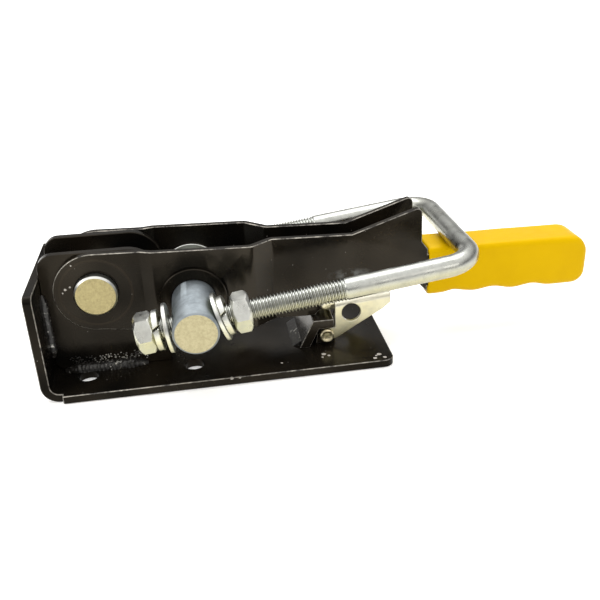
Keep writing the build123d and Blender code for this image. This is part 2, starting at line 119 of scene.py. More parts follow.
@dataclass(frozen=True)
class Relief:
    """Fine bumps: their cloud, how much of them shows, and their height in metres."""

    cloud: Cloud
    strength: float
    height: float


@dataclass(frozen=True)
class Chip:
    """A spot where paint is gone: its place and its radius, in metres."""

    place: Place
    radius: float


# ------------------------------------------------------------------ shader trees
class ShaderTree:
    """A material under construction: one Principled shader and the nodes that feed it."""

    def __init__(self, name: str) -> None:
        """Starts an empty node material.

        Args:
            name: Name of the new material.
        """
        self.material = bpy.data.materials.new(name)
        self.material.use_nodes = True
        self.tree = self.material.node_tree
        self.tree.nodes.clear()
        self.shader = self.tree.nodes.new("ShaderNodeBsdfPrincipled")
        output = self.tree.nodes.new("ShaderNodeOutputMaterial")
        self.tree.links.new(self.shader.outputs["BSDF"], output.inputs["Surface"])
        self.coordinates = self.tree.nodes.new("ShaderNodeTexCoord")

    def feed(self, socket: Socket, value: Feed) -> None:
        """Links a socket to an output, or sets it to a constant.

        Args:
            socket: The input that is fed.
            value: An output, a number or a colour.
        """
        if isinstance(value, Socket):
            self.tree.links.new(value, socket)
        elif isinstance(value, tuple):
            socket.default_value = (*value, 1.0)
        else:
            socket.default_value = value

    def place(self) -> Socket:
        """The point on the piece, in Object coordinates."""
        return self.coordinates.outputs["Object"]

    def noise(self, cloud: Cloud) -> Socket:
        """Cloudy noise over the piece, as it comes.

        Args:
            cloud: Its grain.

        Returns:
            The noise value, around 0.5.
        """
        texture = self.tree.nodes.new("ShaderNodeTexNoise")
        self.feed(texture.inputs["Vector"], self.place())
        self.feed(texture.inputs["Scale"], cloud.scale)
        self.feed(texture.inputs["Detail"], cloud.detail)
        self.feed(texture.inputs["Roughness"], cloud.grain)
        return texture.outputs["Fac"]

    def clouds(self, cloud: Cloud, to_low: float = 0.0, to_high: float = 1.0) -> Socket:
        """Cloudy noise over the piece, stretched between two values.

        Args:
            cloud: Its grain and levels.
            to_low: Value at and below the low level.
            to_high: Value at and above the high level.

        Returns:
            The stretched noise.
        """
        return self.span(self.noise(cloud), cloud.low, cloud.high, to_low, to_high)

    def dots(self, dots: Dots) -> Socket:
        """Small scattered dots.

        Args:
            dots: Their size and number.

        Returns:
            A mask, 1 inside the dots.
        """
        cells = self.tree.nodes.new("ShaderNodeTexVoronoi")
        self.feed(cells.inputs["Vector"], self.place())
        self.feed(cells.inputs["Scale"], dots.scale)
        inside = self.span(cells.outputs["Distance"], dots.radius, dots.radius / 2)
        split = self.tree.nodes.new("ShaderNodeSeparateColor")
        self.feed(split.inputs["Color"], cells.outputs["Color"])
        picked = self.maths("LESS_THAN", split.outputs["Red"], dots.share)
        return self.maths("MULTIPLY", inside, picked)

    def span(self, value: Feed, low: float, high: float, to_low: float = 0.0, to_high: float = 1.0) -> Socket:
        """Maps one span of values to another, clamped.

        Args:
            value: The value to map.
            low: Value that becomes to_low.
            high: Value that becomes to_high.
            to_low: First end of the new span.
            to_high: Last end of the new span.

        Returns:
            The mapped value.
        """
        node = self.tree.nodes.new("ShaderNodeMapRange")
        node.clamp = True
        self.feed(node.inputs["Value"], value)
        self.feed(node.inputs["From Min"], low)
        self.feed(node.inputs["From Max"], high)
        self.feed(node.inputs["To Min"], to_low)
        self.feed(node.inputs["To Max"], to_high)
        return node.outputs["Result"]

    def maths(self, operation: str, first: Feed, second: Feed) -> Socket:
        """Works out one value from two.

        Args:
            operation: The Math node's operation.
            first: First value.
            second: Second value.

        Returns:
            The result.
        """
        node = self.tree.nodes.new("ShaderNodeMath")
        node.operation = operation
        self.feed(node.inputs[0], first)
        self.feed(node.inputs[1], second)
        return node.outputs["Value"]

    def blend(self, factor: Feed, first: Feed, second: Feed) -> Socket:
        """Mixes two colours.

        Args:
            factor: 0 for the first colour, 1 for the second.
            first: First colour.
            second: Second colour.

        Returns:
            The mixed colour.
        """
        node = self.tree.nodes.new("ShaderNodeMix")
        node.data_type = "RGBA"
        self.feed(node.inputs["Factor"], factor)
        self.feed(node.inputs[6], first)
        self.feed(node.inputs[7], second)
        return node.outputs[2]

    def distance(self, centre: Place, across: Place = (1.0, 1.0, 1.0)) -> Socket:
        """Distance from a place on the piece, in metres.

        Args:
            centre: The place, in metres.
            across: Weight of each axis; 0 leaves an axis out.

        Returns:
            The distance.
        """
        shift = self.tree.nodes.new("ShaderNodeMapping")
        self.feed(shift.inputs["Vector"], self.place())
        shift.inputs["Location"].default_value = [-c * a for c, a in zip(centre, across)]
        shift.inputs["Scale"].default_value = across
        length = self.tree.nodes.new("ShaderNodeVectorMath")
        length.operation = "LENGTH"
        self.feed(length.inputs[0], shift.outputs["Vector"])
        return length.outputs["Value"]

    def upness(self) -> Socket:
        """How far the surface faces up on the piece itself.

        Returns:
            1 facing up, -1 facing down.
        """
        split = self.tree.nodes.new("ShaderNodeSeparateXYZ")
        self.feed(split.inputs["Vector"], self.coordinates.outputs["Normal"])
        return split.outputs["Z"]

    def bump(self, relief: Relief) -> None:
        """Adds bumps on top of those that the shader already has.

        Args:
            relief: The bumps.
        """
        node = self.tree.nodes.new("ShaderNodeBump")
        self.feed(node.inputs["Strength"], relief.strength)
        self.feed(node.inputs["Distance"], relief.height)
        self.feed(node.inputs["Height"], self.noise(relief.cloud))
        normal = self.shader.inputs["Normal"]
        if normal.is_linked:
            self.feed(node.inputs["Normal"], normal.links[0].from_socket)
        self.feed(normal, node.outputs["Normal"])

    def set(self, **values: Feed) -> None:
        """Feeds the shader's own sockets.

        Args:
            **values: What each socket gets, by its name with underscores for spaces.
        """
        for name, value in values.items():
            label = name.replace("_", " ").title().replace("Ior", "IOR")
            self.feed(self.shader.inputs[label], value)


# ------------------------------------------------------------------ finishes
@dataclass(frozen=True)
class BlackPaint:
    """Glossy black enamel over steel plate, with dust, chips, a browner, duller ring round the pivot and a dull
    smear.
    """

    name: str
    dust: Dots = Dots(310.0, 0.075, 0.12)
    gloss: tuple[float, float] = (0.10, 0.34)
    chips: tuple[Chip, ...] = ()
    rub_centre: Place | None = None
    smear: tuple[Place, Place] | None = None
    fresh: Colour = (0.0025, 0.0024, 0.0022)
    faded: Colour = (0.011, 0.0085, 0.0055)
    fading: Cloud = Cloud(28.0, 2.0, low=0.35, high=0.7)
    chip_colour: Colour = (0.40, 0.38, 0.35)
    dust_strength: float = 0.55
    ragged: Cloud = Cloud(700.0)
    chip_rim: float = 0.8
    polish: Cloud = Cloud(75.0, 4.0, low=0.3, high=0.75)
    roughness: tuple[float, float] = (0.12, 0.30)
    gloss_cloud: Cloud = Cloud(17.0, 2.0, low=0.36, high=0.64)
    sheen: Colour = (1.0, 0.87, 0.68)
    rub_radius: float = 15.7 * MM
    rub_width: float = 0.9 * MM
    rub_dulling: float = 0.25
    rub_strength: float = 0.5
    rub_colour: Colour = (0.03, 0.023, 0.016)
    smear_fade: tuple[float, float] = (1.0, 0.3)
    smear_cloud: Cloud = Cloud(210.0, 5.0, low=0.42, high=0.62)
    smear_strength: float = 0.5
    smear_colour: Colour = (0.16, 0.17, 0.17)
    peel: Relief = Relief(Cloud(420.0), 0.10, 0.25 * MM)
    waves: Relief = Relief(Cloud(70.0, 2.0), 0.12, 0.8 * MM)

    def marks(self, tree: ShaderTree) -> Socket:
        """Dust and chips.

        Args:
            tree: The material under construction.

        Returns:
            A mask, 1 where bare metal shows.
        """
        marks = tree.maths("MULTIPLY", tree.dots(self.dust), self.dust_strength)
        for chip in self.chips:
            torn = tree.clouds(self.ragged, -chip.radius / 2, chip.radius / 2)
            away = tree.maths("ADD", tree.distance(chip.place), torn)
            inside = tree.span(away, chip.radius, chip.radius * self.chip_rim)
            marks = tree.maths("MAXIMUM", marks, inside)
        return marks

    def ring(self, tree: ShaderTree) -> Socket:
        """A browner, duller ring round the pivot.

        Args:
            tree: The material under construction.

        Returns:
            A mask, 1 in the middle of the ring.
        """
        away = tree.distance(self.rub_centre, FROM_Y_AXIS)
        inner = tree.span(away, self.rub_radius - self.rub_width, self.rub_radius)
        outer = tree.span(away, self.rub_radius + self.rub_width, self.rub_radius)
        return tree.maths("MULTIPLY", inner, outer)

    def haze(self, tree: ShaderTree) -> Socket:
        """The dull smear where the U-bolt passes.

        Args:
            tree: The material under construction.

        Returns:
            A mask, 1 in the thick of the smear.
        """
        streak = tree.span(tree.distance(*self.smear), *self.smear_fade)
        return tree.maths("MULTIPLY", streak, tree.clouds(self.smear_cloud))

    def material(self) -> bpy.types.Material:
        """Builds the shader.

        Returns:
            The new material.
        """
        tree = ShaderTree(self.name)
        colour = tree.blend(tree.clouds(self.fading), self.fresh, self.faded)
        colour = tree.blend(self.marks(tree), colour, self.chip_colour)
        rough = tree.clouds(self.polish, *self.roughness)
        if self.rub_centre is not None:
            ring_mask = self.ring(tree)
            rough = tree.maths("ADD", rough, tree.maths("MULTIPLY", ring_mask, self.rub_dulling))
            colour = tree.blend(tree.maths("MULTIPLY", ring_mask, self.rub_strength), colour, self.rub_colour)
        if self.smear is not None:
            haze = tree.maths("MULTIPLY", self.haze(tree), self.smear_strength)
            colour = tree.blend(haze, colour, self.smear_colour)
        gloss = tree.clouds(self.gloss_cloud, *self.gloss)
        tree.set(base_color=colour, roughness=rough, specular_ior_level=gloss, specular_tint=self.sheen)
        tree.bump(self.peel)
        tree.bump(self.waves)
        return tree.material


@dataclass(frozen=True)
class WornEdge:
    """Edge of a painted plate, lighter grey in patches: partly paint gone through to grey steel, partly a
    painted edge highlight.
    """

    name: str
    paint: Colour = (0.012, 0.010, 0.008)
    # this grey stands both for bare steel where the paint is gone and for a painted edge highlight
    bare: Colour = (0.34, 0.32, 0.28)
    wear: Cloud = Cloud(180.0, 5.0, 0.65, low=0.40, high=0.62)
    roughness: tuple[float, float] = (0.25, 0.42)
    metal: float = 0.5

    def material(self) -> bpy.types.Material:
        """Builds the shader.

        Returns:
            The new material.
        """
        tree = ShaderTree(self.name)
        tree.set(
            base_color=tree.blend(tree.clouds(self.wear), self.paint, self.bare),
            roughness=tree.clouds(self.wear, *self.roughness),
            metallic=tree.clouds(self.wear, 0.0, self.metal),
        )
        return tree.material


@dataclass(frozen=True)
class BrightZinc:
    """Bright zinc plate with dark stains, and painted reflection: a faint yellow cast painted on what faces
    down or sideways.
    """

    name: str
    bright: Colour = (0.60, 0.61, 0.59)
    # colour of the painted reflection on faces turned down or sideways, and how much of it shows
    straw: Colour = (0.56, 0.53, 0.32)
    tint: float = 0.9
    roughness: float = 0.26
    mottle: float = 0.5
    # where the painted reflection starts as the surface turns down, and where it is full
    straw_from: float = 0.35
    straw_full: float = -0.25
    drift: Cloud = Cloud(45.0, 2.0, low=0.3, high=0.7)
    drift_depth: float = 0.12
    stain: Cloud = Cloud(240.0, 5.0, 0.65, low=0.45, high=0.8)
    stain_level: float = 0.5
    polish: Cloud = Cloud(160.0, 5.0, low=0.3, high=0.75)
    smoother: float = 0.07
    rougher: float = 0.14
    skin: Relief = Relief(Cloud(900.0), 0.12, 0.1 * MM)

    def material(self) -> bpy.types.Material:
        """Builds the shader.

        Returns:
            The new material.
        """
        tree = ShaderTree(self.name)
        # painted reflection: the second colour comes in as the surface turns down or sideways
        side = tree.span(tree.upness(), self.straw_from, self.straw_full, 0.0, self.tint)
        drift = tree.clouds(self.drift, -self.drift_depth, self.drift_depth)
        colour = tree.blend(tree.maths("ADD", side, drift), self.bright, self.straw)
        stained = tuple(self.stain_level * c for c in self.bright)
        colour = tree.blend(tree.clouds(self.stain, 0.0, self.mottle), colour, stained)
        rough = tree.clouds(self.polish, self.roughness - self.smoother, self.roughness + self.rougher)
        tree.set(base_color=colour, roughness=rough, metallic=1.0)
        tree.bump(self.skin)
        return tree.material


@dataclass(frozen=True)
class CutBarEnd:
    """Sawn and plated end of a round bar: dull yellow, mottled, with dark pits towards its rim."""

    name: str
    centre: Place
    radius: float
    pale: Colour = (0.43, 0.365, 0.17)
    dull: Colour = (0.31, 0.26, 0.115)
    dark: Colour = (0.10, 0.085, 0.05)
    mottle: Cloud = Cloud(900.0, 5.0, 0.7, low=0.35, high=0.7)
    rim: tuple[float, float] = (0.62, 0.97)
    pits: Cloud = Cloud(1500.0, 2.0, low=0.6, high=0.66)
    pit_strength: float = 0.8
    specks: Dots = Dots(600.0, 0.09, 0.10)
    roughness: tuple[float, float] = (0.42, 0.6)
    metal: float = 0.35
    skin: Relief = Relief(Cloud(1300.0), 0.25, 0.12 * MM)

    def material(self) -> bpy.types.Material:
        """Builds the shader.

        Returns:
            The new material.
        """
        tree = ShaderTree(self.name)
        colour = tree.blend(tree.clouds(self.mottle), self.pale, self.dull)
        inner, outer = (share * self.radius for share in self.rim)
        near_rim = tree.span(tree.distance(self.centre, FROM_Y_AXIS), inner, outer)
        pits = tree.maths("MULTIPLY", tree.clouds(self.pits), near_rim)
        marks = tree.maths("MAXIMUM", tree.maths("MULTIPLY", pits, self.pit_strength), tree.dots(self.specks))
        colour = tree.blend(marks, colour, self.dark)
        tree.set(base_color=colour, roughness=tree.clouds(self.mottle, *self.roughness), metallic=self.metal)
        tree.bump(self.skin)
        return tree.material


@dataclass(frozen=True)
class WeldSkin:
    """Painted weld metal, rough, with bright bare specks; a higher bare value shows more of them."""

    name: str
    bare: float
    paint: Colour = (0.010, 0.009, 0.008)
    steel: Colour = (0.55, 0.54, 0.50)
    specks: Cloud = Cloud(620.0, 4.0, 0.7, low=0.60, high=0.66)
    bare_step: float = 0.1
    patches: Cloud = Cloud(110.0, 2.0, low=0.42, high=0.55)
    roughness: tuple[float, float] = (0.3, 0.4)
    skin: Relief = Relief(Cloud(520.0, 4.0), 0.5, 0.3 * MM)

    def material(self) -> bpy.types.Material:
        """Builds the shader.

        Returns:
            The new material.
        """
        tree = ShaderTree(self.name)
        shift = self.bare_step * self.bare
        specks = tree.span(tree.noise(self.specks), self.specks.low - shift, self.specks.high - shift)
        bright = tree.maths("MULTIPLY", specks, tree.clouds(self.patches))
        colour = tree.blend(bright, self.paint, self.steel)
        tree.set(base_color=colour, roughness=tree.span(bright, 0.0, 1.0, *self.roughness), metallic=bright)
        tree.bump(self.skin)
        return tree.material


@dataclass(frozen=True)
class DippedVinyl:
    """Soft yellow PVC from a dip tank: satin skin with faint clouds and scuffs, and painted shade: a darker
    yellow on what faces down.
    """

    name: str
    colour: Colour = (0.57, 0.355, 0.0006)
    # this darker yellow is painted shade on faces turned down
    deep: Colour = (0.50, 0.30, 0.0007)
    scuffed: Colour = (0.45, 0.27, 0.02)
    # where the painted shade starts as the surface turns down, where it is full, and how much of it shows
    deep_from: float = 0.3
    deep_full: float = -0.6
    deep_share: float = 0.6
    cloud: Cloud = Cloud(55.0, low=0.35, high=0.7)
    cloud_share: float = 0.5
    scuffs: Dots = Dots(260.0, 0.05, 0.12)
    scuff_strength: float = 0.35
    satin: Cloud = Cloud(120.0, low=0.3, high=0.7)
    roughness: tuple[float, float] = (0.34, 0.48)
    gloss: float = 0.2
    sheen: Colour = (1.0, 0.75, 0.05)
    skin: Relief = Relief(Cloud(260.0), 0.12, 0.25 * MM)

    def material(self) -> bpy.types.Material:
        """Builds the shader.

        Returns:
            The new material.
        """
        tree = ShaderTree(self.name)
        # painted shade: darker yellow as the surface turns down, plus random clouds of tone
        low = tree.span(tree.upness(), self.deep_from, self.deep_full, 0.0, self.deep_share)
        shade_and_clouds = tree.maths("ADD", low, tree.clouds(self.cloud, 0.0, self.cloud_share))
        colour = tree.blend(shade_and_clouds, self.colour, self.deep)
        scuffs = tree.maths("MULTIPLY", tree.dots(self.scuffs), self.scuff_strength)
        colour = tree.blend(scuffs, colour, self.scuffed)
        tree.set(base_color=colour, roughness=tree.clouds(self.satin, *self.roughness))
        tree.set(specular_ior_level=self.gloss, specular_tint=self.sheen)
        tree.bump(self.skin)
        return tree.material


@dataclass(frozen=True)
class SpringSteel:
    """Dark oiled spring wire."""

    name: str
    dark: Colour = (0.10, 0.095, 0.09)
    light: Colour = (0.22, 0.21, 0.19)
    oil: Cloud = Cloud(500.0)
    satin: Cloud = Cloud(300.0, low=0.3, high=0.7)
    roughness: tuple[float, float] = (0.3, 0.5)

    def material(self) -> bpy.types.Material:
        """Builds the shader.

        Returns:
            The new material.
        """
        tree = ShaderTree(self.name)
        colour = tree.blend(tree.noise(self.oil), self.dark, self.light)
        tree.set(base_color=colour, roughness=tree.clouds(self.satin, *self.roughness), metallic=1.0)
        return tree.material


@dataclass(frozen=True)
class PaleFloor:
    """Plain matt studio floor with a faint glow."""

    name: str
    colour: Colour = (0.80, 0.80, 0.79)
    shade: float = 0.99
    cloud: Cloud = Cloud(3.0, 2.0)
    roughness: float = 0.75
    gloss: float = 0.2
    glow: float = 0.40
    glow_colour: Colour = (1.0, 1.0, 1.0)

    def material(self) -> bpy.types.Material:
        """Builds the shader.

        Returns:
            The new material.
        """
        tree = ShaderTree(self.name)
        colour = tree.blend(tree.noise(self.cloud), self.colour, tuple(self.shade * c for c in self.colour))
        tree.set(base_color=colour, roughness=self.roughness, specular_ior_level=self.gloss)
        tree.set(emission_color=self.glow_colour, emission_strength=self.glow)
        return tree.material


# ------------------------------------------------------------------ mesh helpers
def body_of(node: str) -> str:
    """Name of the body that a CAD node belongs to."""
    bodies = frame["record"]["behaviour"]["bodies"]
    return next(body for body, nodes in bodies.items() if node in nodes)


def finished(
    bm: bmesh.types.BMesh, name: str, materials: list[bpy.types.Material], sharp: float = 32.0
) -> bpy.types.Object:
    """Turns a mesh under construction into a scene object at the origin.

    Args:
        bm: The mesh, in metres and in place. It is freed.
        name: Name of the piece.
        materials: Its materials, in slot order.
        sharp: Angle in degrees above which an edge is shaded sharp.

    Returns:
        The new object.
    """
    bmesh.ops.recalc_face_normals(bm, faces=bm.faces)
    mesh = bpy.data.meshes.new(name)
    bm.to_mesh(mesh)
    bm.free()
    for material in materials:
        mesh.materials.append(material)
    mesh.shade_smooth()
    mesh.set_sharp_from_angle(angle=math.radians(sharp))
    piece = bpy.data.objects.new(name, mesh)
    bpy.context.scene.collection.objects.link(piece)
    return piece


def merged_copy(node: str) -> bmesh.types.BMesh:
    """A CAD node's shape as one joined mesh with whole flat faces.

    Args:
        node: Name of the CAD node.

    Returns:
        The mesh, in metres and in place.
    """
    bm = bmesh.new()
    bm.from_mesh(frame["nodes"][node].data)
    bmesh.ops.remove_doubles(bm, verts=bm.verts, dist=MERGE_GAP)
    bmesh.ops.dissolve_limit(bm, angle_limit=FLAT_BEND, verts=bm.verts, edges=bm.edges)
    return bm


def ease_edges(bm: bmesh.types.BMesh, width: float) -> list[bmesh.types.BMFace]:
    """Takes the sharpness off a mesh's edges.

    Args:
        bm: The mesh.
        width: Width taken off, in metres.

    Returns:
        The new faces along the edges.
    """
    edges = [e for e in bm.edges if e.is_manifold and e.calc_face_angle(0.0) > SHARP_BEND]
    eased = bmesh.ops.bevel(
        bm, geom=edges, offset=width, offset_type="OFFSET", segments=1,
        profile=0.5, affect="EDGES", clamp_overlap=False, material=-1,
    )
    return eased["faces"]


def stands_for(piece: bpy.types.Object, node: str) -> None:
    """Lets a piece take a CAD node's place.

    Args:
        piece: The piece.
        node: The CAD node that it replaces, and whose body it rides.
    """
    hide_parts(node)
    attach(piece, body_of(node))
    log.info("%s stands for %s", piece.name, node)


def wobble(bm: bmesh.types.BMesh, amount: float, scale: float, seed: int) -> None:
    """Moves each vertex a little, smoothly over the piece.

    Args:
        bm: The mesh.
        amount: Largest move, in metres.
        scale: Waves per metre.
        seed: Picks the pattern; above 0.
    """
    noise.seed_set(seed)
    for vert in bm.verts:
        vert.co += amount * noise.noise_vector(vert.co * scale)


# ------------------------------------------------------------------ sub-assemblies
@dataclass
class PlateWork:
    """Black plate parts: base, webs, handle plates, collars, spacer and bracket, with eased edges."""

    edge: float = 0.35 * MM
    bore_zone: float = 12.0 * MM
    holes_x: tuple[float, float] = (-24.25 * MM, 24.25 * MM)
    hole_y: float = 20.0 * MM
    hole_zone: float = 6.3 * MM
    base_dust: Dots = Dots(310.0, 0.075, 0.2)
    base_gloss: tuple[float, float] = (0.02, 0.2)
    base_chips: tuple[Chip, ...] = (
        Chip((112.2 * MM, -30.0 * MM, 4.0 * MM), 1.2 * MM),
        Chip((114.4 * MM, -33.5 * MM, 4.0 * MM), 0.9 * MM),
        Chip((109.5 * MM, -33.4 * MM, 4.0 * MM), 1.0 * MM),
        Chip((110.6 * MM, -31.2 * MM, 4.0 * MM), 0.6 * MM),
        Chip((86.1 * MM, -24.1 * MM, 4.0 * MM), 1.2 * MM),
        Chip((88.2 * MM, -26.0 * MM, 4.0 * MM), 0.8 * MM),
        Chip((85.0 * MM, -27.0 * MM, 4.0 * MM), 0.6 * MM),
        Chip((65.1 * MM, -28.2 * MM, 4.0 * MM), 0.6 * MM),
        Chip((40.8 * MM, -36.5 * MM, 3.8 * MM), 0.9 * MM),
        Chip((44.4 * MM, -36.5 * MM, 3.8 * MM), 0.7 * MM),
    )
    handle_chips: tuple[Chip, ...] = (
        Chip((-28.2 * MM, -16.5 * MM, 46.8 * MM), 0.6 * MM),
        Chip((-26.0 * MM, -16.5 * MM, 47.9 * MM), 0.45 * MM),
        Chip((-29.5 * MM, -16.5 * MM, 45.2 * MM), 0.4 * MM),
        Chip((-24.0 * MM, -16.5 * MM, 58.0 * MM), 0.4 * MM),
    )
    handle_smear: tuple[Place, Place] = ((102.4 * MM, -10.0 * MM, 38.9 * MM), (83.0, 150.0, 300.0))

    def finishes(self) -> dict[str, bpy.types.Material]:
        """Paint for each node.

        Returns:
            A material by node name.
        """
        plain = BlackPaint("black_paint").material()
        handle = BlackPaint(
            "black_paint_handle", chips=self.handle_chips, rub_centre=PIVOT, smear=self.handle_smear
        ).material()
        base = BlackPaint(
            "black_paint_base", dust=self.base_dust, gloss=self.base_gloss, chips=self.base_chips
        ).material()
        return {
            "base_plate": base,
            "handle_plate_near": handle,
            "handle_plate_far": handle,
            "web_near": plain,
            "web_far": plain,
            "collar_near": plain,
            "collar_far": plain,
            "handle_spacer": plain,
            "lock_bracket": plain,
        }

    def rubbed(self, node: str, place: Vector) -> bool:
        """Tells whether an edge face takes the lighter edge grey, both paint loss where hands and tools reach
        it and a painted edge highlight.

        Args:
            node: The CAD node.
            place: The face's middle.

        Returns:
            True on the outer edges of the base, handle plates and bracket.
        """
        if node.startswith(("collar", "web", "handle_spacer")):
            return False
        if node == "base_plate":
            reach = [math.hypot(place.x - x, abs(place.y) - self.hole_y) for x in self.holes_x]
            return min(reach) > self.hole_zone
        across = [math.hypot(place.x - c[0], place.z - c[2]) for c in (PIVOT, TRUNNION)]
        return min(across) > self.bore_zone

    def build(self) -> None:
        """Makes an eased copy of each plate part."""
        highlighted_worn_edge = WornEdge("worn_edge").material()
        for node, material in self.finishes().items():
            bm = merged_copy(node)
            for face in ease_edges(bm, self.edge):
                # outer eased edges take the lighter grey: a painted edge highlight together with paint loss
                face.material_index = int(self.rubbed(node, face.calc_center_median()))
            stands_for(finished(bm, f"{node}_painted", [material, highlighted_worn_edge]), node)


@dataclass
class PlatedParts:
    """Zinc plated trunnion, pivot pin, washers and safety lever."""

    edge: float = 0.22 * MM
    trunnion_radius: float = 10.0 * MM
    pin_radius: float = 9.5 * MM
    end_depth: float = 0.1 * MM
    end_slope: float = 0.9
    # in each zinc below, the second colour is painted reflection on faces turned down or sideways
    bar_zinc: BrightZinc = BrightZinc(
        "zinc_bar", bright=(0.24, 0.27, 0.29), straw=(0.25, 0.26, 0.24), tint=0.8, roughness=0.55, mottle=0.75
    )
    part_zinc: BrightZinc = BrightZinc("zinc_hardware", roughness=0.32)
    lever_zinc: BrightZinc = BrightZinc(
        "zinc_lever", bright=(0.62, 0.60, 0.50), straw=(0.62, 0.56, 0.27), roughness=0.34
    )
    trunnion_pale: Colour = (0.45, 0.40, 0.235)
    trunnion_dull: Colour = (0.34, 0.30, 0.165)

    def bar(self, node: str, end: bpy.types.Material, shell: bpy.types.Material) -> None:
        """A turned bar, lying along Y, whose sawn ends have their own finish.

        Args:
            node: The CAD node.
            end: Finish of the ends.
            shell: Finish of the turned surface.
        """
        bm = merged_copy(node)
        reach = max(abs(v.co.y) for v in bm.verts) - self.end_depth
        for face in bm.faces:
            if abs(face.normal.y) > self.end_slope and abs(face.calc_center_median().y) > reach:
                face.material_index = 1
        stands_for(finished(bm, f"{node}_plated", [shell, end], sharp=25.0), node)

    def eased(self, node: str, zinc: bpy.types.Material) -> None:
        """A plated part with its edges eased.

        Args:
            node: The CAD node.
            zinc: Its finish.
        """
        bm = merged_copy(node)
        ease_edges(bm, self.edge)
        stands_for(finished(bm, f"{node}_plated", [zinc]), node)

    def build(self) -> None:
        """Makes every plated part but the U-bolt, its nuts and the lever pin."""
        part_zinc = self.part_zinc.material()
        trunnion_end = CutBarEnd(
            "trunnion_end", TRUNNION, self.trunnion_radius, pale=self.trunnion_pale, dull=self.trunnion_dull
        ).material()
        pin_end = CutBarEnd("pivot_pin_end", PIVOT, self.pin_radius).material()
        self.bar("trunnion", trunnion_end, self.bar_zinc.material())
        self.bar("pivot_pin", pin_end, part_zinc)
        for side in Side:
            self.eased(f"thrust_washer_{side.label}", part_zinc)
        for side in Side:
            for stack in Stack:
                self.eased(f"flat_washer_{side.label}_{stack.value}", part_zinc)
                self.eased(f"lock_washer_{side.label}_{stack.value}", part_zinc)
        self.eased("lock_lever", self.lever_zinc.material())


@dataclass
class LeverPin:
    """Lever pin with a dished, staked head on each end."""

    centre: Place = (89.25 * MM, 0.0, 9.6 * MM)
    shank_radius: float = 2.5 * MM
    head_radius: float = 3.6 * MM
    half: float = 15.08 * MM
    head: float = 1.9 * MM
    dish: float = 0.55 * MM
    dish_share: float = 0.45
    crown: tuple[tuple[float, float], ...] = (
        (0.62, 0.1 * MM), (0.8, 0.0), (0.95, 0.35 * MM), (1.0, 0.8 * MM)
    )
    steps: int = 32
    stake_turns: tuple[float, float] = (0.6, 0.6 + math.pi / 2)
    stake_length: float = 5.4 * MM
    stake_height: float = 0.5 * MM
    stake_width: float = 0.55 * MM
    # the zinc's second colour, at full share, is painted reflection on faces turned down or sideways
    zinc: BrightZinc = BrightZinc("zinc_lever_pin", bright=(0.56, 0.50, 0.34), tint=1.0, roughness=0.32)

    def build(self) -> None:
        """Makes the pin."""
        top = self.half + self.head
        floor = top - self.dish
        outline = [(0.0, floor), (self.head_radius * self.dish_share, floor)]
        outline += [(self.head_radius * share, top - drop) for share, drop in self.crown]
        outline += [(self.head_radius, self.half), (self.shank_radius, self.half)]
        points = outline + [(out, -along) for out, along in reversed(outline)]
        bm = bmesh.new()
        verts = [bm.verts.new((out, along, 0.0)) for out, along in points]
        edges = [bm.edges.new(pair) for pair in zip(verts, verts[1:])]
        bmesh.ops.spin(
            bm, geom=verts + edges, cent=(0, 0, 0), axis=(0, 1, 0), angle=math.tau,
            steps=self.steps, use_merge=True,
        )
        bmesh.ops.remove_doubles(bm, verts=bm.verts, dist=SEAM_GAP)
        for end in Side:
            for turn in self.stake_turns:
                stake = bmesh.ops.create_cube(bm, size=1.0)["verts"]
                size = (self.stake_length, self.stake_height, self.stake_width)
                bmesh.ops.scale(bm, verts=stake, vec=size)
                bmesh.ops.rotate(bm, verts=stake, matrix=Matrix.Rotation(turn, 3, "Y"))
                bmesh.ops.translate(bm, verts=stake, vec=(0.0, end.value * floor, 0.0))
        bmesh.ops.translate(bm, verts=bm.verts, vec=self.centre)
        piece = finished(bm, "lever_pin_staked", [self.zinc.material()])
        stands_for(piece, "lever_pin")


